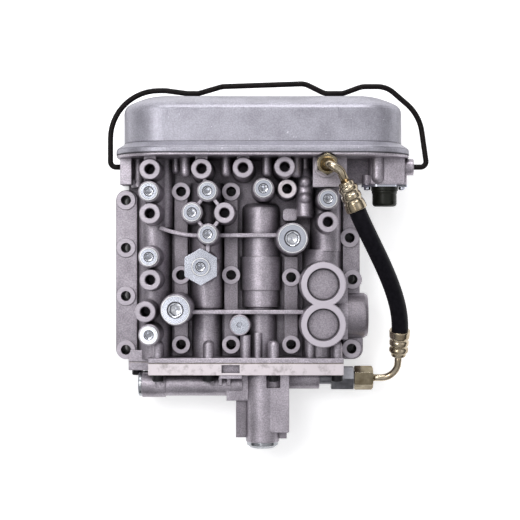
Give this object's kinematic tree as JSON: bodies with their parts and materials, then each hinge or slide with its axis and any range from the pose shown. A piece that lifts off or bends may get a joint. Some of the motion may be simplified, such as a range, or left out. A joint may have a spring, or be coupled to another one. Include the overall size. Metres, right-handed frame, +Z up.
{
  "type": "transmission shift control valve",
  "caption": "Cast shift control valve with spool columns, port bosses, bailed solenoid cover, harness connector, lower regulator housing and hydraulic hose.",
  "frame": {"origin": "on the mounting face, the underside of the channel plate, near the middle of the bolt field", "axes": "+Z up out of the mounting face, +Y along the spools towards the solenoid cover, +X towards the hose"},
  "size_m": [0.2865, 0.3283, 0.1064],
  "materials": {
    "casting": "as-cast, fine grain",
    "plate": "machined, dull",
    "gasket": "matt paper",
    "steel": "ground and polished",
    "zinc": "bright zinc plate",
    "chromate": "yellow chromated zinc plate",
    "black_steel": "black oxide",
    "bail": "satin black",
    "cover": "drawn sheet, satin",
    "rubber": "matt",
    "plastic": "satin black"
  },
  "bodies": {
    "body": {"channel_plate": "plate", "channel_gasket": "gasket", "body_gasket": "gasket", "housing_gasket": "gasket", "separator_plate": "steel", "plate_screws": "black_steel", "valve_body": "casting", "lower_housing": "casting", "port_plugs": "zinc", "large_plugs": "zinc", "hex_adapter": "zinc", "flush_plug": "zinc", "regulator_cap": "zinc", "modulator_cap": "zinc", "connector_flange": "zinc", "connector_screws": "zinc", "lower_adapter": "zinc", "port_plug_seals": "rubber", "large_plug_seals": "rubber", "hex_adapter_seal": "rubber", "cover_seal": "rubber", "hose": "rubber", "spool_spring_1": "steel", "spool_spring_2": "steel", "spool_spring_3": "steel", "spool_spring_4": "steel", "regulator_spring": "steel", "modulator_spring": "steel", "solenoid_valve_1": "steel", "solenoid_valve_2": "steel", "solenoid_valve_3": "steel", "solenoid_valve_4": "steel", "solenoid_valve_5": "steel", "housing_screws": "black_steel", "solenoid_cover": "cover", "solenoid_coil_1": "plastic", "solenoid_coil_2": "plastic", "solenoid_coil_3": "plastic", "solenoid_coil_4": "plastic", "solenoid_coil_5": "plastic", "wiring_loom": "plastic", "connector_socket": "plastic", "connector_cap": "plastic", "upper_adapter": "chromate", "upper_nut": "chromate", "upper_pipe": "chromate", "upper_ferrule": "chromate", "lower_ferrule": "chromate", "lower_pipe": "chromate", "lower_nut": "chromate"},
    "bail": {"bail_wire": "bail"},
    "spool_1": {"spool_1": "steel"},
    "spool_2": {"spool_2": "steel"},
    "spool_3": {"spool_3": "steel"},
    "spool_4": {"spool_4": "steel"},
    "regulator_spool": {"regulator_spool": "steel"},
    "modulator_piston": {"modulator_piston": "steel"}
  },
  "joints": [
    {"name": "bail_hinge", "type": "hinge", "parent": "body", "child": "bail", "pos_m": [0, 0.092, 0.05], "axis": [1, 0, 0], "range_deg": [0, 100]},
    {"name": "spool_1_slide", "type": "slide", "parent": "body", "child": "spool_1", "axis": [0, -1, 0], "range_m": [0, 0.008], "stiffness_N_per_m": 1500, "deforming": ["spool_spring_1"]},
    {"name": "spool_2_slide", "type": "slide", "parent": "body", "child": "spool_2", "axis": [0, -1, 0], "range_m": [0, 0.008], "stiffness_N_per_m": 1500, "deforming": ["spool_spring_2"]},
    {"name": "spool_3_slide", "type": "slide", "parent": "body", "child": "spool_3", "axis": [0, -1, 0], "range_m": [0, 0.008], "stiffness_N_per_m": 1500, "deforming": ["spool_spring_3"]},
    {"name": "spool_4_slide", "type": "slide", "parent": "body", "child": "spool_4", "axis": [0, -1, 0], "range_m": [0, 0.008], "stiffness_N_per_m": 1500, "deforming": ["spool_spring_4"]},
    {"name": "regulator_slide", "type": "slide", "parent": "body", "child": "regulator_spool", "axis": [-1, 0, 0], "range_m": [0, 0.006], "stiffness_N_per_m": 1500, "deforming": ["regulator_spring"]},
    {"name": "modulator_slide", "type": "slide", "parent": "body", "child": "modulator_piston", "axis": [0, -1, 0], "range_m": [0, 0.006], "stiffness_N_per_m": 1500, "deforming": ["modulator_spring"]}
  ]
}
